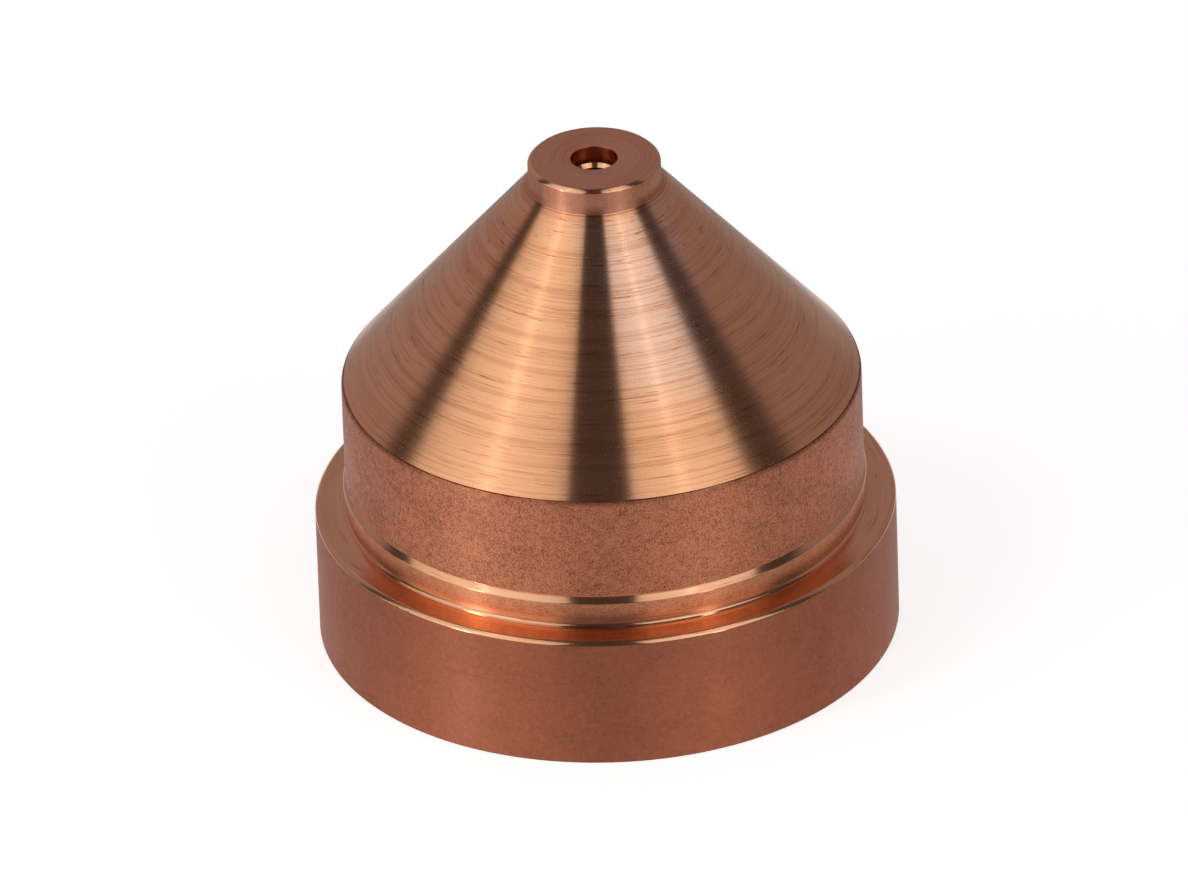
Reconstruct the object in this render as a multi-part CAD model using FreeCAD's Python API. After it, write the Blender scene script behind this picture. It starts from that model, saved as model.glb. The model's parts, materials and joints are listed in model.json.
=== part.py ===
import FreeCAD, Part

import math
import os
from dataclasses import dataclass

# Plasma torch nozzle, turned from one piece of copper bar. Millimetres, +Z up. The origin lies on
# the axis, in the plane of the rear face that seats on the torch, and the orifice points along +Z.

# Flange: the wide ring at the rear that the retaining cap clamps against the torch.
FLANGE_DIAMETER = 25.0
FLANGE_HEIGHT = 5.98
FLANGE_EDGE_BREAK = 0.15
REAR_EDGE_BREAK = 0.07

# Body: the cylinder that pilots the retaining cap.
BODY_DIAMETER = 22.32
SHOULDER_HEIGHT = 12.0
SHOULDER_EDGE_RADIUS = 0.30

# Rib between flange and body, with a shallow relief below it and a V groove above. A small bevelled
# step rises from the flange to the relief. The flat land on the flange starts just outside the rib, so
# that the cap's shoulder passes the rib and lies on all of the land.
RIB_STANDOFF = 0.09
RIB_WIDTH = 0.715
RIB_FLANK_ANGLE = 45.0
LAND_CLEARANCE = 0.03
ROOT_STEP_RISE = 0.09
ROOT_BEVEL_RISE = 0.08
ROOT_RELIEF_DEPTH = 0.06
ROOT_RELIEF_WIDTH = 0.29
GROOVE_DEPTH = 0.16
GROOVE_UNDERCUT_RISE = 0.095

# Cone and nose.
CONE_HALF_ANGLE = 40.7
NOSE_DIAMETER = 5.70
NOSE_LENGTH = 0.94
NOSE_ROOT_RADIUS = 0.50
NOSE_EDGE_BREAK = 0.155

# Orifice: a counterbore in the nose face, a bevel and the throat that constricts the arc.
COUNTERBORE_DIAMETER = 2.02
COUNTERBORE_DEPTH = 0.79
THROAT_DIAMETER = 1.70
THROAT_LENGTH = 3.0
THROAT_BEVEL_ANGLE = 45.0

# Inside: the cone that leads to the throat, the electrode chamber and the spigot bore at the rear.
CHAMBER_CONE_HALF_ANGLE = 45.0
CHAMBER_DIAMETER = 13.0
CHAMBER_ROOT_RADIUS = 1.0
CHAMBER_LEAD_IN = 0.40
SPIGOT_DIAMETER = 18.0
SPIGOT_DEPTH = 4.5
SPIGOT_CORNER_RADIUS = 0.20
SPIGOT_LEAD_IN = 0.50

# Radii and heights that follow from the sizes above.
FLANGE_RADIUS = FLANGE_DIAMETER / 2
BODY_RADIUS = BODY_DIAMETER / 2
RIB_RADIUS = BODY_RADIUS + RIB_STANDOFF
RELIEF_RADIUS = RIB_RADIUS - ROOT_RELIEF_DEPTH
LAND_INNER_RADIUS = RIB_RADIUS + LAND_CLEARANCE
GROOVE_RADIUS = BODY_RADIUS - GROOVE_DEPTH
NOSE_RADIUS = NOSE_DIAMETER / 2
COUNTERBORE_RADIUS = COUNTERBORE_DIAMETER / 2
THROAT_RADIUS = THROAT_DIAMETER / 2
CHAMBER_RADIUS = CHAMBER_DIAMETER / 2
SPIGOT_RADIUS = SPIGOT_DIAMETER / 2

ROOT_STEP_TOP = FLANGE_HEIGHT + ROOT_STEP_RISE
RELIEF_BOTTOM = ROOT_STEP_TOP + ROOT_BEVEL_RISE
RIB_BOTTOM = RELIEF_BOTTOM + ROOT_RELIEF_WIDTH
RIB_TOP = RIB_BOTTOM + RIB_WIDTH
CONE_LENGTH = (BODY_RADIUS - NOSE_RADIUS) / math.tan(math.radians(CONE_HALF_ANGLE))
NOSE_BASE = SHOULDER_HEIGHT + CONE_LENGTH
NOSE_FACE = NOSE_BASE + NOSE_LENGTH


@dataclass(frozen=True)
class Corner:
    """One corner of the turned section: radius and height, and the fillet that softens it."""

    radius: float
    height: float
    fillet: float = 0.0

    def point(self):
        """Return the corner in the XZ plane that the section is drawn in."""
        return FreeCAD.Vector(self.radius, 0, self.height)


def outer_corners():
    """Return the outside of the section, from the rear face up to the nose face."""
    flank_rise = (RIB_RADIUS - GROOVE_RADIUS) / math.tan(math.radians(RIB_FLANK_ANGLE))
    groove_bottom = RIB_TOP + flank_rise
    body_bottom = groove_bottom + GROOVE_UNDERCUT_RISE
    return [
        Corner(FLANGE_RADIUS - REAR_EDGE_BREAK, 0),
        Corner(FLANGE_RADIUS, REAR_EDGE_BREAK),
        Corner(FLANGE_RADIUS, FLANGE_HEIGHT - FLANGE_EDGE_BREAK),
        Corner(FLANGE_RADIUS - FLANGE_EDGE_BREAK, FLANGE_HEIGHT),
        Corner(LAND_INNER_RADIUS, FLANGE_HEIGHT),
        Corner(LAND_INNER_RADIUS, ROOT_STEP_TOP),
        Corner(LAND_INNER_RADIUS - ROOT_BEVEL_RISE, RELIEF_BOTTOM),
        Corner(RELIEF_RADIUS, RELIEF_BOTTOM),
        Corner(RELIEF_RADIUS, RIB_BOTTOM),
        Corner(RIB_RADIUS, RIB_BOTTOM),
        Corner(RIB_RADIUS, RIB_TOP),
        Corner(GROOVE_RADIUS, groove_bottom),
        Corner(BODY_RADIUS, body_bottom),
        Corner(BODY_RADIUS, SHOULDER_HEIGHT, SHOULDER_EDGE_RADIUS),
        Corner(NOSE_RADIUS, NOSE_BASE, NOSE_ROOT_RADIUS),
        Corner(NOSE_RADIUS, NOSE_FACE - NOSE_EDGE_BREAK),
        Corner(NOSE_RADIUS - NOSE_EDGE_BREAK, NOSE_FACE),
    ]


def inner_corners():
    """Return the inside of the section, from the nose face down to the rear face."""
    counterbore_floor = NOSE_FACE - COUNTERBORE_DEPTH
    bevel_drop = (COUNTERBORE_RADIUS - THROAT_RADIUS) / math.tan(math.radians(THROAT_BEVEL_ANGLE))
    throat_top = counterbore_floor - bevel_drop
    throat_bottom = throat_top - THROAT_LENGTH
    cone_drop = (CHAMBER_RADIUS - THROAT_RADIUS) / math.tan(math.radians(CHAMBER_CONE_HALF_ANGLE))
    chamber_top = throat_bottom - cone_drop
    return [
        Corner(COUNTERBORE_RADIUS, NOSE_FACE),
        Corner(COUNTERBORE_RADIUS, counterbore_floor),
        Corner(THROAT_RADIUS, throat_top),
        Corner(THROAT_RADIUS, throat_bottom),
        Corner(CHAMBER_RADIUS, chamber_top, CHAMBER_ROOT_RADIUS),
        Corner(CHAMBER_RADIUS, SPIGOT_DEPTH + CHAMBER_LEAD_IN),
        Corner(CHAMBER_RADIUS + CHAMBER_LEAD_IN, SPIGOT_DEPTH),
        Corner(SPIGOT_RADIUS, SPIGOT_DEPTH, SPIGOT_CORNER_RADIUS),
        Corner(SPIGOT_RADIUS, SPIGOT_LEAD_IN),
        Corner(SPIGOT_RADIUS + SPIGOT_LEAD_IN, 0),
    ]


def fillet_points(before, corner, after):
    """Return the start, middle and end of the arc that rounds a corner, or the corner itself."""
    tip = corner.point()
    if corner.fillet == 0:
        return [tip]
    to_before = before.point() - tip
    to_after = after.point() - tip
    half_angle = to_before.getAngle(to_after) / 2
    longest_tangent = min(to_before.Length, to_after.Length) / 2
    tangent = min(corner.fillet / math.tan(half_angle), longest_tangent)
    fillet = tangent * math.tan(half_angle)
    to_before.normalize()
    to_after.normalize()
    bisector = (to_before + to_after).normalize()
    middle = tip + bisector * (fillet / math.sin(half_angle) - fillet)
    return [tip + to_before * tangent, middle, tip + to_after * tangent]


def section_face(corners):
    """Return the closed section as a face, with straight sides and an arc at each filleted corner."""
    count = len(corners)
    stations = [fillet_points(corners[i - 1], corners[i], corners[(i + 1) % count]) for i in range(count)]
    edges = []
    for index, station in enumerate(stations):
        if len(station) == 3:
            edges.append(Part.Arc(*station).toShape())
        following = stations[(index + 1) % count]
        edges.append(Part.LineSegment(station[-1], following[0]).toShape())
    return Part.Face(Part.Wire(edges))


def turned_solid(corners):
    """Revolve the section about the Z axis and return the one solid that it sweeps."""
    axis_point = FreeCAD.Vector(0, 0, 0)
    axis = FreeCAD.Vector(0, 0, 1)
    swept = section_face(corners).revolve(axis_point, axis, 360)
    return swept.Solids[0]


def main():
    """Write the nozzle as the single sub-part that it is."""
    os.makedirs("parts", exist_ok=True)
    nozzle = turned_solid(outer_corners() + inner_corners())
    nozzle.exportStep("parts/nozzle.step")
    print("nozzle: volume", round(nozzle.Volume, 3), "mm3, height", round(nozzle.BoundBox.ZLength, 3), "mm")


main()
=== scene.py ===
"""Dresses a turned copper plasma torch nozzle: its section, its finishes and a plain studio."""

import json
import logging
import math
from dataclasses import dataclass, field
from enum import Enum
from typing import Any, Optional, Sequence, Union

import bmesh
import bpy
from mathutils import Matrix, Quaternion, Vector


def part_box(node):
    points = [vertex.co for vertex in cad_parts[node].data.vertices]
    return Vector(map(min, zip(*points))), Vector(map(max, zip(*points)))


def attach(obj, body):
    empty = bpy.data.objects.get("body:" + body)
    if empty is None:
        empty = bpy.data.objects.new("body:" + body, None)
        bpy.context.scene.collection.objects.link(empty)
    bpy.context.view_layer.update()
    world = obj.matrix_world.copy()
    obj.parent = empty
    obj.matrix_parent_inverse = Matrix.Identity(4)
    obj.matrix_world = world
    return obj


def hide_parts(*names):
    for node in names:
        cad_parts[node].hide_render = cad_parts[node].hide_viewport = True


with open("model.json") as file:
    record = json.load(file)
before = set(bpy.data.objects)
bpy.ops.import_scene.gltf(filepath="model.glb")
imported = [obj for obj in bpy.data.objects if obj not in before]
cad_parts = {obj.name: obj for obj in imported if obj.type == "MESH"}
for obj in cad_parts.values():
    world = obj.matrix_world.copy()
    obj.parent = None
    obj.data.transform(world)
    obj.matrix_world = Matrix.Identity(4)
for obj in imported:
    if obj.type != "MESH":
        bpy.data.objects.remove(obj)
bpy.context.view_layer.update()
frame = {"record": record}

MM = 0.001

# The share of a mark's reach over which it has its full strength.
MARK_CORE = 0.4
# A quarter turn: highlights are drawn out across the cutting marks.
ACROSS_MARKS = 0.25
# The middle value of noise from 0 to 1.
MIDDLE = 0.5
# The burr's painted shadow, a dark line: how far it wanders, half its width and its fade, in
# millimetres.
BURR_SHADOW_WANDER = 0.09
BURR_SHADOW_HALF_WIDTH = 0.016
BURR_SHADOW_SOFTNESS = 0.022
# How dark that painted shadow line is where it is faintest, and how much darker it gets.
BURR_SHADOW_LEAST = 0.45
BURR_SHADOW_SPREAD = 0.5

log = logging.getLogger("nozzle")

Colour = tuple[float, float, float]
Point = tuple[float, float]


class Finish(Enum):
    """The finishes that the nozzle carries, one for each material slot of its mesh; the heel,
    flange and orifice are darkened with painted shade.
    """

    CONE = "turned_cone"
    BODY = "blasted_body"
    SHADED_FLANGE = "satin_flange"
    RIB = "satin_rib"
    RELIEF = "turned_relief"
    SHADED_HEEL = "dull_heel"
    LAND = "bright_land"
    COLLAR = "satin_collar"
    NOSE = "faced_nose"
    SHADED_ORIFICE = "drilled_orifice"
    INSIDE = "bored_inside"


# ---------------------------------------------------------------------------------------------
# Shader maths
# ---------------------------------------------------------------------------------------------


class Socket:
    """A shader output that takes part in Python arithmetic, one Math node for each operation."""

    def __init__(self, graph: "Graph", output: bpy.types.NodeSocket) -> None:
        """Wrap one output socket of a graph.

        Args:
            graph: The graph that holds the output's node.
            output: The output socket itself.
        """
        self.graph = graph
        self.output = output

    def __add__(self, other: "Operand") -> "Socket":
        """Return self + other."""
        return self.graph.maths("ADD", self, other)

    def __radd__(self, other: "Operand") -> "Socket":
        """Return other + self."""
        return self.graph.maths("ADD", other, self)

    def __sub__(self, other: "Operand") -> "Socket":
        """Return self - other."""
        return self.graph.maths("SUBTRACT", self, other)

    def __rsub__(self, other: "Operand") -> "Socket":
        """Return other - self."""
        return self.graph.maths("SUBTRACT", other, self)

    def __mul__(self, other: "Operand") -> "Socket":
        """Return self * other."""
        return self.graph.maths("MULTIPLY", self, other)

    def __rmul__(self, other: "Operand") -> "Socket":
        """Return other * self."""
        return self.graph.maths("MULTIPLY", other, self)

    def __truediv__(self, other: "Operand") -> "Socket":
        """Return self / other."""
        return self.graph.maths("DIVIDE", self, other)

    def __pow__(self, other: "Operand") -> "Socket":
        """Return self to the power of other."""
        return self.graph.maths("POWER", self, other)

    def __abs__(self) -> "Socket":
        """Return the size of self without its sign."""
        return self.graph.maths("ABSOLUTE", self)


Operand = Union[Socket, float]


class Graph:
    """The node tree of one material or world, and the calls that add nodes to it."""

    def __init__(self, tree: bpy.types.NodeTree) -> None:
        """Empty a node tree and wrap it.

        Args:
            tree: The tree to build in.
        """
        self.tree = tree
        self.tree.nodes.clear()

    def node(
        self,
        kind: str,
        settings: Optional[dict[str, Any]] = None,
        sockets: Optional[dict[Union[str, int], Any]] = None,
    ) -> bpy.types.Node:
        """Add one node.

        Args:
            kind: The node's Blender type.
            settings: Its properties, set before its sockets. "stops" fills a colour ramp.
            sockets: A value or a Socket for each input, by name or number.

        Returns:
            The new node.
        """
        made = self.tree.nodes.new(kind)
        for name, value in (settings or {}).items():
            if name == "stops":
                self._fill_ramp(made, value)
            else:
                setattr(made, name, value)
        for name, value in (sockets or {}).items():
            if isinstance(value, Socket):
                self.tree.links.new(value.output, made.inputs[name])
            else:
                made.inputs[name].default_value = value
        return made

    @staticmethod
    def _fill_ramp(made: bpy.types.Node, stops: Sequence[tuple[float, Sequence[float]]]) -> None:
        """Give a colour ramp its stops, each a position and a colour."""
        elements = made.color_ramp.elements
        while len(elements) < len(stops):
            elements.new(1.0)
        for element, (position, colour) in zip(elements, stops):
            element.position = position
            element.color = (*colour, 1.0)

    def out(self, made: bpy.types.Node, name: Union[str, int] = 0) -> Socket:
        """Return one output of a node as a Socket."""
        return Socket(self, made.outputs[name])

    def maths(self, operation: str, *values: Operand) -> Socket:
        """Return the result of a Math node on sockets or numbers."""
        made = self.node("ShaderNodeMath", {"operation": operation}, dict(enumerate(values)))
        return self.out(made)

    def ramp(self, value: Operand, low: float, high: float) -> Socket:
        """Return 0 below low, 1 above high and a smooth step between them."""
        settings = {"interpolation_type": "SMOOTHSTEP"}
        sockets = {"Value": value, "From Min": low, "From Max": high}
        return self.out(self.node("ShaderNodeMapRange", settings, sockets))

    def band(self, value: Socket, centre: float, half_width: float, softness: float) -> Socket:
        """Return 1 within half_width of centre, falling smoothly to 0 over softness."""
        return 1.0 - self.ramp(abs(value - centre), half_width, half_width + softness)

    def vector(self, x: Operand, y: Operand, z: Operand) -> Socket:
        """Return three numbers as one vector."""
        return self.out(self.node("ShaderNodeCombineXYZ", None, {"X": x, "Y": y, "Z": z}))

    def noise(
        self,
        vector: Socket,
        scale: float,
        detail: float = 2.0,
        roughness: float = 0.5,
    ) -> Socket:
        """Return fractal noise from 0 to 1, centred on a half."""
        sockets = {"Vector": vector, "Scale": scale, "Detail": detail, "Roughness": roughness}
        return self.out(self.node("ShaderNodeTexNoise", {"normalize": True}, sockets), "Fac")

    def mix(self, factor: Operand, first: Any, second: Any, blend: str = "MIX") -> Socket:
        """Return two colours mixed by a factor."""
        settings = {"data_type": "RGBA", "blend_type": blend, "clamp_factor": True}
        sockets = {0: factor, 6: self.colour(first), 7: self.colour(second)}
        return self.out(self.node("ShaderNodeMix", settings, sockets), 2)

    @staticmethod
    def colour(value: Any) -> Any:
        """Return a colour of three numbers with its alpha, and anything else as it is."""
        return (*value, 1.0) if isinstance(value, tuple) else value


class LatheGraph(Graph):
    """A material's graph with the coordinates of a turned part: radius, height and azimuth."""

    def __init__(self, name: str) -> None:
        """Make a material and its lathe coordinates.

        Args:
            name: The material's name.
        """
        self.material = bpy.data.materials.new(name)
        self.material.use_nodes = True
        super().__init__(self.material.node_tree)
        place = self.out(self.node("ShaderNodeTexCoord"), "Object")
        self.place = place
        split = self.node("ShaderNodeSeparateXYZ", None, {"Vector": place})
        self.x = self.out(split, "X") / MM
        self.y = self.out(split, "Y") / MM
        self.height = self.out(split, "Z") / MM
        self.radius = (self.x ** 2.0 + self.y ** 2.0) ** 0.5
        self.cosine = self.x / self.radius
        self.sine = self.y / self.radius

    def ring_noise(self, along: Socket, pitch: float, runs: float, detail: float = 2.0) -> Socket:
        """Return noise drawn out round the axis, as a cutting edge leaves it.

        Args:
            along: The place along the section, in millimetres.
            pitch: The usual distance between marks, in millimetres.
            runs: How many times a mark changes in one turn, about.
            detail: The octaves of the noise.

        Returns:
            The noise, from 0 to 1.
        """
        turn = runs / (2.0 * math.pi)
        vector = self.vector(self.cosine * turn, self.sine * turn, along / pitch)
        return self.noise(vector, 1.0, detail)

    def mark(self, mark: "Mark") -> Socket:
        """Return a mark's strength where it lies, and 0 elsewhere."""
        angle = math.radians(mark.azimuth)
        aside = self.x * math.cos(angle) + self.y * math.sin(angle)
        facing = self.x * math.sin(angle) - self.y * math.cos(angle)
        fade = 1.0 - MARK_CORE
        across = self.band(aside, 0.0, mark.reach * MARK_CORE, mark.reach * fade)
        along = self.band(self.height, mark.height, mark.breadth * MARK_CORE, mark.breadth * fade)
        return across * along * self.ramp(facing, 0.0, 1.0) * mark.strength

    def bump(self, height: Socket, depth: float, under: Optional[Socket] = None) -> Socket:
        """Return a normal raised by a height of 0 to 1 times a depth in millimetres."""
        sockets = {"Height": height, "Distance": depth * MM, "Strength": 1.0}
        if under is not None:
            sockets["Normal"] = under
        return self.out(self.node("ShaderNodeBump", None, sockets))

    def metal(
        self,
        colour: Any,
        roughness: Operand,
        normal: Socket,
        anisotropy: float,
    ) -> bpy.types.Material:
        """Finish the material as bare metal.

        Args:
            colour: The metal's colour.
            roughness: Its roughness.
            normal: Its normal, from the bumps.
            anisotropy: How far highlights are drawn out across the cutting marks.

        Returns:
            The finished material.
        """
        sockets = {
            "Base Color": self.colour(colour),
            "Metallic": 1.0,
            "Roughness": roughness,
            "Anisotropic": anisotropy,
            "Anisotropic Rotation": ACROSS_MARKS,
            "Normal": normal,
        }
        surface = self.out(self.node("ShaderNodeBsdfPrincipled", None, sockets))
        self.node("ShaderNodeOutputMaterial", None, {"Surface": surface})
        return self.material


# ---------------------------------------------------------------------------------------------
# Finishes
# ---------------------------------------------------------------------------------------------


@dataclass(frozen=True)
class Mark:
    """One dent, scratch or patch of painted sheen. Azimuth 0 is the front (-Y), positive to the
    right.

    Attributes:
        azimuth: Its place round the wall, in degrees.
        height: Its height above the rear face, in millimetres.
        reach: Half its length round the wall, in millimetres.
        breadth: Half its height, in millimetres.
        strength: How strongly it shows, from 0 to 1.
    """

    azimuth: float
    height: float
    reach: float
    breadth: float
    strength: float


@dataclass(frozen=True)
class TurnedFinish:
    """Bare copper as a lathe tool leaves it: rings at the feed's pitch, with a few deeper marks.

    Attributes:
        colour: The clean metal's colour.
        dark: The colour in the marks.
        roughness: The usual roughness.
        anisotropy: How far highlights are drawn out across the rings.
        slope: The run of the section here, in radius and height.
        pitch: The distance between rings, in millimetres.
        depth: The depth of the rings, in millimetres.
        lines: How dark the rings are.
        scores: How dark the deeper, broken marks are.
        sparkle: How much rougher the scattered grit is than the rest.
        step_shade_height: The height of a fine dark ring of painted shade, as a small step would
            cast, in millimetres.
        painted_sheen: A paler patch, a painted sheen of light on the metal.
        painted_sheen_colour: The colour of that painted sheen.
        coarse_share: How far the broad rings strengthen the fine ones.
        cloud_share: How far soft clouds darken the metal.
        roughness_spread: How far the rings change the roughness.
        clouds_per_metre: The scale of the clouds.
        grit_per_metre: The scale of the grit.
        step_shade_half_width: Half the width of that painted shade line, in millimetres.
        step_shade_softness: The width over which that painted shade line fades, in millimetres.
        step_shade_strength: How dark that painted shade line is.
    """

    colour: Colour
    dark: Colour
    roughness: float
    anisotropy: float
    slope: Point = (0.0, 1.0)
    pitch: float = 0.07
    depth: float = 0.0005
    lines: float = 0.40
    scores: float = 0.55
    sparkle: float = 0.0
    step_shade_height: Optional[float] = None
    painted_sheen: Optional[Mark] = None
    painted_sheen_colour: Colour = (0.95, 0.62, 0.46)
    coarse_share: float = 0.7
    cloud_share: float = 0.25
    roughness_spread: float = 0.10
    clouds_per_metre: float = 300.0
    grit_per_metre: float = 14000.0
    step_shade_half_width: float = 0.012
    step_shade_softness: float = 0.03
    step_shade_strength: float = 0.7

    def material(self, finish: Finish) -> bpy.types.Material:
        """Build the material.

        Args:
            finish: The finish that the material is named after.

        Returns:
            The material.
        """
        lathe = LatheGraph(finish.value)
        along = lathe.radius * self.slope[0] + lathe.height * self.slope[1]
        rings = lathe.ring_noise(along, self.pitch, runs=5.0, detail=3.0)
        coarse = lathe.ring_noise(along, self.pitch * 4.0, runs=2.5)
        broken = lathe.ring_noise(along, self.pitch * 1.3, runs=34.0)
        uneven = rings + (coarse - MIDDLE) * self.coarse_share
        lines = lathe.ramp(uneven, low=0.40, high=0.72) * self.lines
        scores = lathe.ramp(broken, low=0.60, high=0.74) * self.scores
        clouds = lathe.noise(lathe.place, self.clouds_per_metre, detail=3.0)
        worn = lines + scores + (clouds - MIDDLE) * self.cloud_share
        speckle = lathe.noise(lathe.place, self.grit_per_metre, detail=1.0)
        grit = lathe.ramp(speckle, low=0.68, high=0.76) * self.sparkle
        colour: Any = self.colour
        # A paler patch of painted sheen on the metal.
        if self.painted_sheen is not None:
            colour = lathe.mix(lathe.mark(self.painted_sheen), colour, self.painted_sheen_colour)
        colour = lathe.mix(worn, colour, self.dark)
        # A fine dark ring of painted shade, where a small step would shade the cone.
        if self.step_shade_height is not None:
            line = lathe.band(
                lathe.height,
                self.step_shade_height,
                self.step_shade_half_width,
                self.step_shade_softness,
            )
            colour = lathe.mix(line * self.step_shade_strength, colour, self.dark, "MULTIPLY")
        roughness = self.roughness + (rings - MIDDLE) * self.roughness_spread + grit
        normal = lathe.bump(rings + broken * 0.5, self.depth)
        return lathe.metal(colour, roughness, normal, self.anisotropy)


@dataclass(frozen=True)
class BlastedFinish:
    """Copper with a fine matte grain over light turning, darker in specks and softly cloudy.

    Attributes:
        colour: The clean metal's colour.
        dark: The colour of the specks and marks.
        roughness: The usual roughness.
        anisotropy: How far highlights are drawn out across the turning.
        grain: The size of a grain, in millimetres.
        depth: The depth of the grain, in millimetres.
        specks: How dark the specks are.
        clouds: How far the soft clouds darken the metal.
        burr_shadow_height: The height of the burr left by the cone's cut, whose shadow is painted
            as a dark line, in millimetres.
        marks: Single dents and scratches.
        coarse_ratio: The scale of the coarse grain, as a share of the fine grain's.
        coarse_share: How far the coarse grain gathers the specks.
        ring_pitch: The distance between the turning marks, in millimetres.
        ring_share: How far those marks show.
        clouds_per_metre: The scale of the clouds.
        roughness_spread: How far the coarse grain changes the roughness.
    """

    colour: Colour
    dark: Colour
    roughness: float
    anisotropy: float = 0.9
    grain: float = 0.075
    depth: float = 0.0012
    specks: float = 0.75
    clouds: float = 0.9
    burr_shadow_height: Optional[float] = None
    marks: tuple[Mark, ...] = ()
    coarse_ratio: float = 0.22
    coarse_share: float = 0.3
    ring_pitch: float = 0.07
    ring_share: float = 0.30
    clouds_per_metre: float = 520.0
    roughness_spread: float = 0.12

    def material(self, finish: Finish) -> bpy.types.Material:
        """Build the material.

        Args:
            finish: The finish that the material is named after.

        Returns:
            The material.
        """
        lathe = LatheGraph(finish.value)
        grain = self.grain * MM
        fine = lathe.noise(lathe.place, 1.0 / grain, detail=2.0, roughness=0.65)
        coarse = lathe.noise(lathe.place, self.coarse_ratio / grain, detail=3.0, roughness=0.6)
        broad = lathe.noise(lathe.place, self.clouds_per_metre)
        gathered = fine + (coarse - MIDDLE) * self.coarse_share
        pepper = lathe.ramp(gathered, low=0.42, high=0.64) * self.specks
        rings = lathe.ring_noise(lathe.height, self.ring_pitch, runs=6.0)
        shade = pepper + (broad - MIDDLE) * self.clouds + (rings - MIDDLE) * self.ring_share
        colour = lathe.mix(shade, self.colour, self.dark)
        # Paint the burr's shadow as an uneven dark line.
        if self.burr_shadow_height is not None:
            colour = lathe.mix(self._burr_shadow(lathe), colour, self.dark, "MULTIPLY")
        for mark in self.marks:
            colour = lathe.mix(lathe.mark(mark), colour, self.dark, "MULTIPLY")
        roughness = self.roughness + (coarse - MIDDLE) * self.roughness_spread
        normal = lathe.bump(fine, self.depth)
        return lathe.metal(colour, roughness, normal, self.anisotropy)

    def _burr_shadow(self, lathe: LatheGraph) -> Socket:
        """Return the uneven dark line of painted shadow under the burr that the cone's cut left at
        the edge of the matte finish.
        """
        drift = lathe.ring_noise(lathe.height, pitch=4.0, runs=60.0, detail=3.0)
        wander = (drift - MIDDLE) * BURR_SHADOW_WANDER
        patches = lathe.ring_noise(lathe.height, pitch=4.0, runs=26.0, detail=3.0)
        weight = lathe.ramp(patches, low=0.36, high=0.56)
        place = lathe.height + wander
        line = lathe.band(place, self.burr_shadow_height, BURR_SHADOW_HALF_WIDTH, BURR_SHADOW_SOFTNESS)
        return line * (BURR_SHADOW_LEAST + weight * BURR_SHADOW_SPREAD)


CONE_ANGLE = math.radians(40.7)
CONE_SLOPE = (-math.sin(CONE_ANGLE), math.cos(CONE_ANGLE))

FINISHES: dict[Finish, Union[TurnedFinish, BlastedFinish]] = {
    Finish.CONE: TurnedFinish(
        colour=(0.98, 0.50, 0.265),
        dark=(0.60, 0.23, 0.11),
        roughness=0.19,
        anisotropy=0.85,
        slope=CONE_SLOPE,
        lines=0.45,
        scores=0.75,
        sparkle=0.16,
        # A fine ring of painted shade near the top of the cone.
        step_shade_height=21.45,
        # A paler patch on the cone's front right: painted sheen.
        painted_sheen=Mark(azimuth=24.0, height=18.3, reach=3.0, breadth=4.2, strength=0.8),
    ),
    Finish.BODY: BlastedFinish(
        colour=(0.72, 0.285, 0.158),
        dark=(0.34, 0.115, 0.058),
        roughness=0.50,
        anisotropy=0.85,
        grain=0.055,
        specks=0.95,
        burr_shadow_height=12.10,
        marks=(Mark(azimuth=-69.0, height=11.75, reach=0.16, breadth=0.10, strength=0.8),),
    ),
    # The flange's copper is painted darker than the body's: painted shade, so that its side
    # reflects the floor dimly.
    Finish.SHADED_FLANGE: BlastedFinish(
        colour=(0.46, 0.158, 0.084),
        dark=(0.30, 0.10, 0.052),
        roughness=0.50,
        grain=0.05,
        specks=0.6,
        clouds=0.7,
        marks=(Mark(azimuth=-30.0, height=3.72, reach=1.8, breadth=0.03, strength=0.15),),
    ),
    Finish.RIB: BlastedFinish(
        colour=(0.84, 0.355, 0.19),
        dark=(0.44, 0.16, 0.08),
        roughness=0.40,
        anisotropy=0.95,
        grain=0.055,
        specks=0.7,
    ),
    Finish.RELIEF: TurnedFinish(
        colour=(0.90, 0.43, 0.24),
        dark=(0.48, 0.18, 0.09),
        roughness=0.34,
        anisotropy=0.85,
    ),
    # The rear edge break is painted near black: painted shade where the edge meets the floor.
    Finish.SHADED_HEEL: BlastedFinish(
        colour=(0.14, 0.05, 0.03),
        dark=(0.08, 0.03, 0.02),
        roughness=0.50,
    ),
    Finish.LAND: TurnedFinish(
        colour=(0.98, 0.51, 0.285),
        dark=(0.55, 0.21, 0.10),
        roughness=0.15,
        anisotropy=0.8,
        slope=(1.0, 0.0),
        lines=0.15,
    ),
    Finish.COLLAR: BlastedFinish(
        colour=(0.84, 0.38, 0.235),
        dark=(0.52, 0.21, 0.12),
        roughness=0.45,
        grain=0.05,
        specks=0.5,
    ),
    Finish.NOSE: TurnedFinish(
        colour=(0.88, 0.42, 0.25),
        dark=(0.60, 0.25, 0.14),
        roughness=0.34,
        anisotropy=0.6,
        slope=(1.0, 0.0),
        pitch=0.06,
        scores=0.0,
    ),
    # The orifice's copper is painted dark: painted shade inside the hole.
    Finish.SHADED_ORIFICE: TurnedFinish(
        colour=(0.50, 0.16, 0.07),
        dark=(0.28, 0.08, 0.035),
        roughness=0.30,
        anisotropy=0.2,
        lines=0.2,
        scores=0.0,
    ),
    Finish.INSIDE: TurnedFinish(
        colour=(0.85, 0.40, 0.23),
        dark=(0.45, 0.17, 0.09),
        roughness=0.28,
        anisotropy=0.6,
    ),
}


# ---------------------------------------------------------------------------------------------
# The nozzle
# ---------------------------------------------------------------------------------------------


# How far from a corner its rounding starts, in millimetres.
HAIRLINE = 0.004
SEAM = 0.005
KEEN = 0.01
BROKEN = 0.02
EASED = 0.03
SOFT = 0.04

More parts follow.
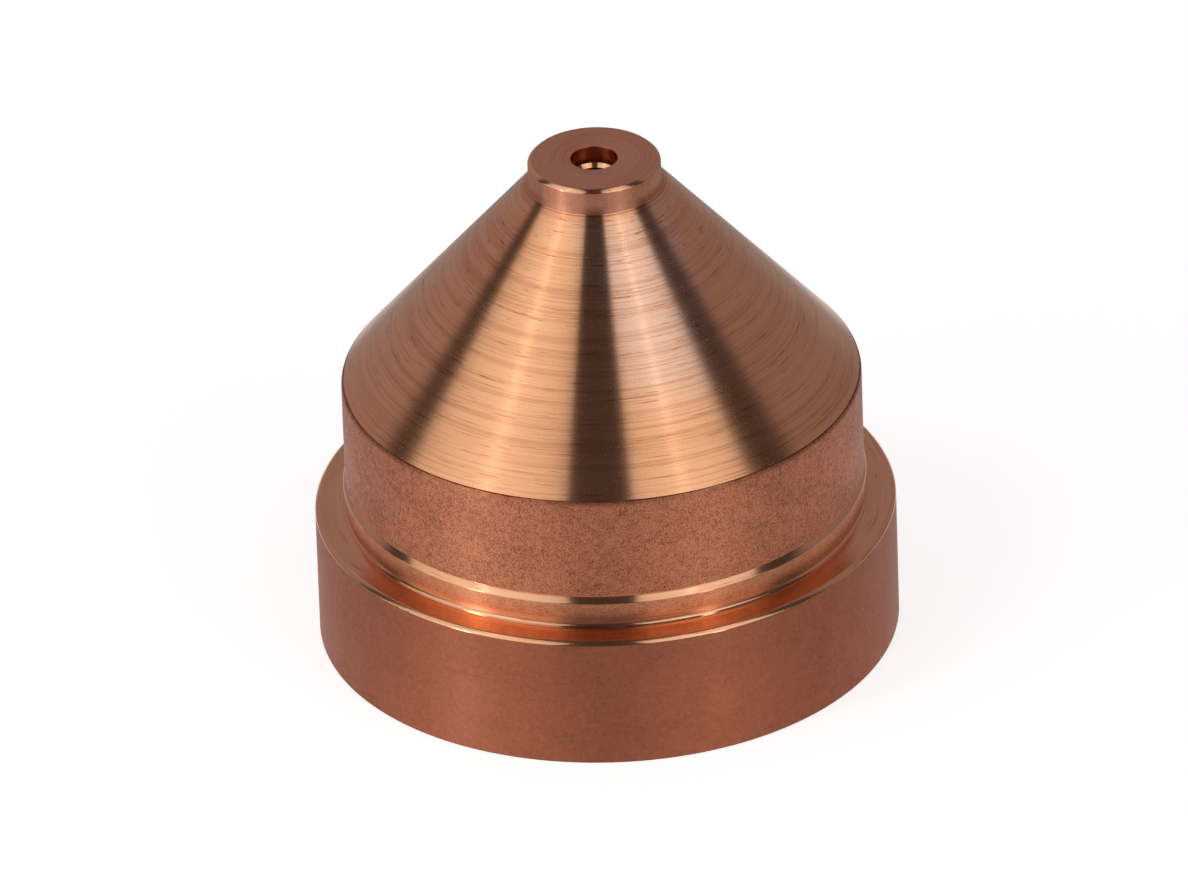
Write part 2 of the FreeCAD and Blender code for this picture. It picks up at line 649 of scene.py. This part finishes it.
# How near to each other two vertices are one, in millimetres.
JOIN_DISTANCE = 1e-4
# The decimals to which a ring's place is told from the next.
RING_DIGITS = 4
# The angle past which an edge stays sharp.
SMOOTH_ANGLE = math.radians(50.0)
# The weight at which the widest faces set the normals.
FACE_WEIGHT = 100


@dataclass(frozen=True)
class Station:
    """One corner of the turned section, in millimetres.

    Attributes:
        radius: Distance from the axis.
        height: Height above the rear face.
        finish: The finish of the stretch that starts here.
        rounding: How far from the corner its rounding starts.
        steps: The facets of that rounding.
    """

    radius: float
    height: float
    finish: Finish
    rounding: float = BROKEN
    steps: int = 2


@dataclass
class Nozzle:
    """The whole nozzle, drawn as a section and spun about the axis. Sizes in millimetres."""

    flange_radius: float
    land_height: float
    body_radius: float
    total_height: float
    spigot_radius: float
    chamber_radius: float
    throat_radius: float
    throat_length: float
    flange_edge: float = 0.15
    rear_edge: float = 0.07
    shoulder_height: float = 12.0
    shoulder_edge: float = 0.11
    matte_rise: float = 0.15
    rib_standoff: float = 0.09
    rib_width: float = 0.715
    land_clearance: float = 0.03
    step_rise: float = 0.09
    bevel_rise: float = 0.08
    relief_depth: float = 0.06
    relief_width: float = 0.29
    groove_depth: float = 0.16
    groove_undercut_rise: float = 0.095
    nose_radius: float = 2.85
    nose_root: float = 0.185
    root_margin: float = 0.02
    nose_edge: float = 0.155
    counterbore_radius: float = 1.01
    counterbore_depth: float = 0.79
    chamber_root: float = 0.41
    chamber_lead: float = 0.40
    spigot_depth: float = 4.5
    spigot_lead: float = 0.50
    spigot_root: float = 0.2
    turns: int = 384
    stations: list[Station] = field(default_factory=list)

    @classmethod
    def from_frame(cls) -> "Nozzle":
        """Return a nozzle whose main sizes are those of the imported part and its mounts."""
        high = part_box("nozzle")[1]
        mounts = {mount["name"]: mount for mount in frame["record"]["mounts"]}
        return cls(
            flange_radius=high.x / MM,
            land_height=mounts["clamp_land"]["pos_m"][2] / MM,
            body_radius=mounts["body_od"]["dims"]["r_mm"],
            total_height=high.z / MM,
            spigot_radius=mounts["spigot_bore"]["dims"]["r_mm"],
            chamber_radius=mounts["chamber_bore"]["dims"]["r_mm"],
            throat_radius=mounts["throat"]["dims"]["r_mm"],
            throat_length=mounts["throat"]["dims"]["length_mm"],
        )

    def outside(self) -> list[Station]:
        """Return the outside of the section, from the rear face up to the nose face."""
        rib = self.body_radius + self.rib_standoff
        relief = rib - self.relief_depth
        groove = self.body_radius - self.groove_depth
        step = rib + self.land_clearance
        step_top = self.land_height + self.step_rise
        relief_bottom = step_top + self.bevel_rise
        rib_bottom = relief_bottom + self.relief_width
        rib_top = rib_bottom + self.rib_width
        groove_bottom = rib_top + rib - groove
        body_bottom = groove_bottom + self.groove_undercut_rise
        matte_radius = self.body_radius - self.matte_rise * math.sin(CONE_ANGLE)
        matte_height = self.shoulder_height + self.matte_rise * math.cos(CONE_ANGLE)
        cone_width = self.body_radius - self.nose_radius
        nose_base = self.shoulder_height + cone_width / math.tan(CONE_ANGLE)
        root = self.nose_root + self.root_margin
        root_radius = self.nose_radius + root * math.sin(CONE_ANGLE)
        root_height = nose_base - root * math.cos(CONE_ANGLE)
        top = self.total_height
        return [
            Station(self.flange_radius - self.rear_edge, 0.0, Finish.SHADED_HEEL),
            Station(self.flange_radius, self.rear_edge, Finish.SHADED_FLANGE),
            Station(self.flange_radius, self.land_height - self.flange_edge, Finish.LAND, SOFT, 3),
            Station(self.flange_radius - self.flange_edge, self.land_height, Finish.LAND, SOFT, 3),
            Station(step, self.land_height, Finish.LAND, KEEN),
            Station(step, step_top, Finish.LAND),
            Station(step - self.bevel_rise, relief_bottom, Finish.RELIEF, HAIRLINE),
            Station(relief, relief_bottom, Finish.RELIEF, HAIRLINE),
            Station(relief, rib_bottom, Finish.RELIEF, KEEN),
            Station(rib, rib_bottom, Finish.RIB, EASED, 3),
            Station(rib, rib_top, Finish.LAND, EASED, 3),
            Station(groove, groove_bottom, Finish.BODY, BROKEN, 3),
            Station(self.body_radius, body_bottom, Finish.BODY, BROKEN, 3),
            Station(self.body_radius, self.shoulder_height, Finish.BODY, self.shoulder_edge, 4),
            Station(matte_radius, matte_height, Finish.CONE, SEAM),
            Station(root_radius, root_height, Finish.COLLAR, HAIRLINE),
            Station(self.nose_radius, nose_base, Finish.COLLAR, self.nose_root, 6),
            Station(self.nose_radius, top - self.nose_edge, Finish.LAND, EASED, 3),
            Station(self.nose_radius - self.nose_edge, top, Finish.NOSE, EASED, 3),
        ]

    def inside(self) -> list[Station]:
        """Return the inside of the section, from the nose face down to the rear face."""
        floor = self.total_height - self.counterbore_depth
        throat_top = floor - (self.counterbore_radius - self.throat_radius)
        throat_bottom = throat_top - self.throat_length
        chamber_top = throat_bottom - (self.chamber_radius - self.throat_radius)
        return [
            Station(self.counterbore_radius, self.total_height, Finish.SHADED_ORIFICE),
            Station(self.counterbore_radius, floor, Finish.LAND, KEEN),
            Station(self.throat_radius, throat_top, Finish.SHADED_ORIFICE, KEEN),
            Station(self.throat_radius, throat_bottom, Finish.INSIDE),
            Station(self.chamber_radius, chamber_top, Finish.INSIDE, self.chamber_root, 6),
            Station(self.chamber_radius, self.spigot_depth + self.chamber_lead, Finish.INSIDE),
            Station(self.chamber_radius + self.chamber_lead, self.spigot_depth, Finish.INSIDE),
            Station(self.spigot_radius, self.spigot_depth, Finish.INSIDE, self.spigot_root, 4),
            Station(self.spigot_radius, self.spigot_lead, Finish.INSIDE),
            Station(self.spigot_radius + self.spigot_lead, 0.0, Finish.LAND),
        ]

    def build(self) -> bpy.types.Object:
        """Model, dress and place the nozzle.

        Returns:
            The finished object, at the origin.
        """
        self.stations = self.outside() + self.inside()
        piece = self._draw_section()
        self._round_corners(piece)
        self._spin()
        bpy.ops.transform.resize(value=(MM, MM, MM), center_override=(0.0, 0.0, 0.0))
        bpy.ops.object.mode_set(mode="OBJECT")
        self._dress(piece)
        self._smooth(piece)
        return piece

    def _draw_section(self) -> bpy.types.Object:
        """Draw the section's edges in the XZ plane, extruding a point from corner to corner.

        Returns:
            The object that holds them, left in edit mode.
        """
        first = self.stations[0]
        bpy.ops.object.select_all(action="DESELECT")
        bpy.ops.mesh.primitive_plane_add(size=1.0, location=(first.radius, 0.0, first.height))
        bpy.ops.object.transform_apply(location=True, rotation=True, scale=True)
        piece = bpy.context.active_object
        piece.name = "copper_nozzle"
        bpy.ops.object.mode_set(mode="EDIT")
        bpy.ops.mesh.select_mode(type="VERT")
        bpy.ops.mesh.select_all(action="SELECT")
        bpy.ops.mesh.merge(type="CENTER")
        for before, after in zip(self.stations, self.stations[1:]):
            step = (after.radius - before.radius, 0.0, after.height - before.height)
            bpy.ops.mesh.extrude_region_move(TRANSFORM_OT_translate={"value": step})
        self._select_corners(piece, [self.stations[0], self.stations[-1]])
        bpy.ops.mesh.edge_face_add()
        return piece

    def _select_corners(self, piece: bpy.types.Object, corners: Sequence[Station]) -> None:
        """Select the section's vertices that stand at the given corners, and no others."""
        places = [Vector((corner.radius, 0.0, corner.height)) for corner in corners]
        mesh = bmesh.from_edit_mesh(piece.data)
        for vertex in mesh.verts:
            vertex.select = any((vertex.co - place).length < JOIN_DISTANCE for place in places)
        mesh.select_flush_mode()
        bmesh.update_edit_mesh(piece.data)

    def _round_corners(self, piece: bpy.types.Object) -> None:
        """Bevel each corner of the section by its own rounding."""
        for corner in self.stations:
            self._select_corners(piece, [corner])
            bpy.ops.mesh.bevel(
                offset=corner.rounding,
                segments=corner.steps,
                affect="VERTICES",
            )

    def _spin(self) -> None:
        """Spin the section once round the axis, close the seam and turn the faces outwards."""
        bpy.ops.mesh.select_all(action="SELECT")
        bpy.ops.mesh.spin(
            steps=self.turns,
            angle=2.0 * math.pi,
            center=(0.0, 0.0, 0.0),
            axis=(0.0, 0.0, 1.0),
        )
        bpy.ops.mesh.select_all(action="SELECT")
        bpy.ops.mesh.remove_doubles(threshold=JOIN_DISTANCE)
        bpy.ops.mesh.normals_make_consistent(inside=False)

    def _finish_at(self, radius: float, height: float) -> Finish:
        """Return the finish of the stretch of section that lies nearest to a point."""
        point = Vector((radius, height))

        def distance(index: int) -> float:
            """Return how far the point is from one stretch."""
            start = self.stations[index]
            end = self.stations[(index + 1) % len(self.stations)]
            origin = Vector((start.radius, start.height))
            span = Vector((end.radius, end.height)) - origin
            share = min(max((point - origin).dot(span) / span.length_squared, 0.0), 1.0)
            return (origin + span * share - point).length

        return self.stations[min(range(len(self.stations)), key=distance)].finish

    def _dress(self, piece: bpy.types.Object) -> None:
        """Give each ring of faces the material of its stretch of the section."""
        order = list(Finish)
        for finish in order:
            piece.data.materials.append(FINISHES[finish].material(finish))
        rings: dict[Point, int] = {}
        for face in piece.data.polygons:
            radius = math.hypot(face.center.x, face.center.y) / MM
            ring = (round(radius, RING_DIGITS), round(face.center.z / MM, RING_DIGITS))
            if ring not in rings:
                rings[ring] = order.index(self._finish_at(*ring))
            face.material_index = rings[ring]

    def _smooth(self, piece: bpy.types.Object) -> None:
        """Shade the rings smooth, and keep the broad faces true with weighted normals."""
        bpy.ops.object.shade_smooth_by_angle(angle=SMOOTH_ANGLE)
        weighted = piece.modifiers.new("weighted_normals", "WEIGHTED_NORMAL")
        weighted.keep_sharp = True
        weighted.weight = FACE_WEIGHT
        bpy.ops.object.modifier_apply(modifier=weighted.name)


# ---------------------------------------------------------------------------------------------
# The studio
# ---------------------------------------------------------------------------------------------


@dataclass(frozen=True)
class Softbox:
    """An upright soft lamp that stands round the part. Azimuth 0 is the front (-Y).

    Attributes:
        name: The lamp's name.
        azimuth: Its place round the part in degrees, positive to the right.
        distance: From the axis, in metres.
        width: Of its face, in metres.
        height: Of its face, in metres.
        level: The brightness of its middle, where 1 shows white.
        edge: The brightness of its upright edges, as a share of its middle.
        lift: The height of its lower edge, in metres.
    """

    name: str
    azimuth: float
    distance: float
    width: float
    height: float
    level: float
    edge: float = 1.0
    lift: float = 0.0

    def build(self) -> bpy.types.Object:
        """Place the lamp, facing the axis and out of the camera's sight.

        Returns:
            The lamp.
        """
        angle = math.radians(self.azimuth)
        outward = Vector((math.sin(angle), -math.cos(angle), 0.0))
        bpy.ops.object.light_add(type="AREA", location=outward * self.distance)
        lamp = bpy.context.active_object
        lamp.name = self.name
        lamp.location.z = self.lift + self.height / 2.0
        lamp.rotation_mode = "QUATERNION"
        lamp.rotation_quaternion = outward.to_track_quat("Z", "Y")
        lamp.data.shape = "RECTANGLE"
        lamp.data.size = self.width
        lamp.data.size_y = self.height
        lamp.data.energy = self.level * math.pi * self.width * self.height
        lamp.visible_camera = False
        self._fade(lamp)
        return lamp

    def _fade(self, lamp: bpy.types.Object) -> None:
        """Dim the lamp's face from its middle to its upright edges."""
        lamp.data.use_nodes = True
        graph = Graph(lamp.data.node_tree)
        place = graph.out(graph.node("ShaderNodeNewGeometry"), "Parametric")
        split = graph.node("ShaderNodeSeparateXYZ", None, {"Vector": place})
        across = graph.out(split, "X") * 2.0 - 1.0
        strength = 1.0 - across ** 2.0 * (1.0 - self.edge)
        glow = graph.out(graph.node("ShaderNodeEmission", None, {"Strength": strength}))
        graph.node("ShaderNodeOutputLight", None, {"Surface": glow})


@dataclass(frozen=True)
class Studio:
    """Pale floor, soft lamps, a dim room and the camera. Lengths in metres, angles in degrees.

    Attributes:
        floor_size: The side of the floor.
        floor_colour: The floor's colour.
        floor_lift: What is added to the lit floor, where it is shown white.
        floor_near: How far from the axis metal sees the floor white.
        floor_far: How far from the axis that has faded out.
        room_colour: The tint of the room that metal sees.
        room_front: The room's level in front of the part.
        room_left: Its level behind, on the left.
        room_right: Its level behind, on the right.
        room_skew: How far the edge between front and back is turned.
        room_edge: Where the level rises from front to back.
        room_sweep: How far to each side the left passes into the right.
        camera_elevation: The camera's height over the level.
        camera_roll: Its turn about its own axis.
        camera_distance: Its distance from the point that it looks at.
        camera_lens: Its focal length, in millimetres.
        camera_sensor: The width of its sensor, in millimetres.
        camera_reach: The nearest and farthest that it sees.
        aim: The point that it looks at.
        lamps: The lamps.
    """

    floor_size: float = 0.36
    floor_colour: Colour = (0.80, 0.80, 0.80)
    floor_lift: float = 0.74
    floor_near: float = 26.0 * MM
    floor_far: float = 55.0 * MM
    room_colour: Colour = (1.0, 0.85, 0.93)
    room_front: float = 0.058
    room_left: float = 0.31
    room_right: float = 0.245
    room_skew: float = 0.15
    room_edge: Point = (0.10, 0.26)
    room_sweep: float = 0.4
    camera_elevation: float = 30.14
    camera_roll: float = -1.976
    camera_distance: float = 0.9
    camera_lens: float = 635.0
    camera_sensor: float = 36.0
    camera_reach: Point = (0.01, 10.0)
    aim: tuple[float, float, float] = (-0.42 * MM, 0.0, 8.44 * MM)
    lamps: tuple[Softbox, ...] = (
        Softbox(
            name="left_softbox",
            azimuth=-58.0,
            distance=0.70,
            width=1.09,
            height=1.40,
            level=0.90,
            edge=0.60,
        ),
        Softbox(
            name="right_softbox",
            azimuth=42.6,
            distance=0.70,
            width=0.77,
            height=1.20,
            level=0.88,
            edge=0.72,
            lift=0.20,
        ),
        Softbox(
            name="left_tube",
            azimuth=-59.5,
            distance=0.60,
            width=0.03,
            height=1.20,
            level=0.9,
        ),
        Softbox(
            name="right_tube",
            azimuth=40.4,
            distance=0.60,
            width=0.03,
            height=1.20,
            level=0.6,
        ),
        Softbox(
            name="left_low_tube",
            azimuth=-56.0,
            distance=0.60,
            width=0.07,
            height=0.22,
            level=4.2,
        ),
        Softbox(
            name="right_low_tube",
            azimuth=41.0,
            distance=0.60,
            width=0.05,
            height=0.20,
            level=2.2,
        ),
    )

    def build(self) -> None:
        """Build everything that isn't the object."""
        self._floor()
        for lamp in self.lamps:
            lamp.build()
        self._room()
        self._camera()
        bpy.context.scene.view_settings.view_transform = "Standard"

    def _shown(self, graph: Graph) -> Socket:
        """Return how white the floor is: to the camera all over, to metal and glass when near."""
        path = graph.node("ShaderNodeLightPath")
        rays = ("Is Camera Ray", "Is Glossy Ray", "Is Transmission Ray")
        camera, glossy, transmission = (graph.out(path, ray) for ray in rays)
        place = graph.out(graph.node("ShaderNodeTexCoord"), "Object")
        split = graph.node("ShaderNodeSeparateXYZ", None, {"Vector": place})
        away = (graph.out(split, "X") ** 2.0 + graph.out(split, "Y") ** 2.0) ** 0.5
        near = 1.0 - graph.ramp(away, self.floor_near, self.floor_far)
        return graph.maths("MINIMUM", camera + (glossy + transmission) * near, 1.0)

    @staticmethod
    def _seen_directly(graph: Graph) -> Socket:
        """Return 1 for rays that come from the camera."""
        return graph.out(graph.node("ShaderNodeLightPath"), "Is Camera Ray")

    def _floor(self) -> None:
        """Lay the floor: pale, white where the camera sees it, with the object's shadow kept."""
        bpy.ops.mesh.primitive_plane_add(size=self.floor_size)
        floor = bpy.context.active_object
        floor.name = "floor"
        material = bpy.data.materials.new("floor")
        material.use_nodes = True
        graph = Graph(material.node_tree)
        paint = {"Color": (*self.floor_colour, 1.0)}
        plain = graph.out(graph.node("ShaderNodeBsdfDiffuse", None, paint))
        lift = self._shown(graph) * self.floor_lift
        glow = graph.out(graph.node("ShaderNodeEmission", None, {"Strength": lift}))
        both = graph.out(graph.node("ShaderNodeAddShader", None, {0: plain, 1: glow}))
        clear = graph.out(graph.node("ShaderNodeBsdfTransparent"))
        under = graph.out(graph.node("ShaderNodeNewGeometry"), "Backfacing")
        shown = graph.out(graph.node("ShaderNodeMixShader", None, {0: under, 1: both, 2: clear}))
        graph.node("ShaderNodeOutputMaterial", None, {"Surface": shown})
        floor.data.materials.append(material)

    def _room(self) -> None:
        """Light the room dimly in front, a little more behind, and show it white to the camera."""
        world = bpy.data.worlds.new("room")
        world.use_nodes = True
        bpy.context.scene.world = world
        graph = Graph(world.node_tree)
        way = graph.out(graph.node("ShaderNodeTexCoord"), "Generated")
        split = graph.node("ShaderNodeSeparateXYZ", None, {"Vector": way})
        depth = graph.out(split, "Y") + graph.out(split, "X") * self.room_skew
        behind = graph.ramp(depth, *self.room_edge)
        right = graph.ramp(graph.out(split, "X"), -self.room_sweep, self.room_sweep)
        back = right * (self.room_right - self.room_left) + self.room_left
        level = behind * (back - self.room_front) + self.room_front
        glow = {"Color": (*self.room_colour, 1.0), "Strength": level}
        room = graph.out(graph.node("ShaderNodeBackground", None, glow))
        white = graph.out(graph.node("ShaderNodeBackground", None, {"Strength": 1.0}))
        seen = self._seen_directly(graph)
        shown = graph.out(graph.node("ShaderNodeMixShader", None, {0: seen, 1: room, 2: white}))
        graph.node("ShaderNodeOutputWorld", None, {"Surface": shown})

    def _camera(self) -> None:
        """Place the camera: a long lens that looks down at the part, rolled a little."""
        tilt = math.radians(self.camera_elevation)
        back = Vector((0.0, -math.cos(tilt), math.sin(tilt)))
        data = bpy.data.cameras.new("camera")
        camera = bpy.data.objects.new("camera", data)
        bpy.context.scene.collection.objects.link(camera)
        camera.location = Vector(self.aim) + back * self.camera_distance
        camera.rotation_mode = "QUATERNION"
        roll = Quaternion((0.0, 0.0, 1.0), math.radians(self.camera_roll))
        camera.rotation_quaternion = back.to_track_quat("Z", "Y") @ roll
        data.sensor_width = self.camera_sensor
        data.lens = self.camera_lens
        data.clip_start, data.clip_end = self.camera_reach
        bpy.context.scene.camera = camera


def main() -> None:
    """Build the studio and the nozzle, and report each piece."""
    logging.basicConfig(level=logging.INFO, format="%(name)s: %(message)s")
    Studio().build()
    log.info("studio built")
    nozzle = Nozzle.from_frame().build()
    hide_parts("nozzle")
    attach(nozzle, "root")
    log.info("%s built with %d faces", nozzle.name, len(nozzle.data.polygons))


if __name__ == "__main__":
    main()
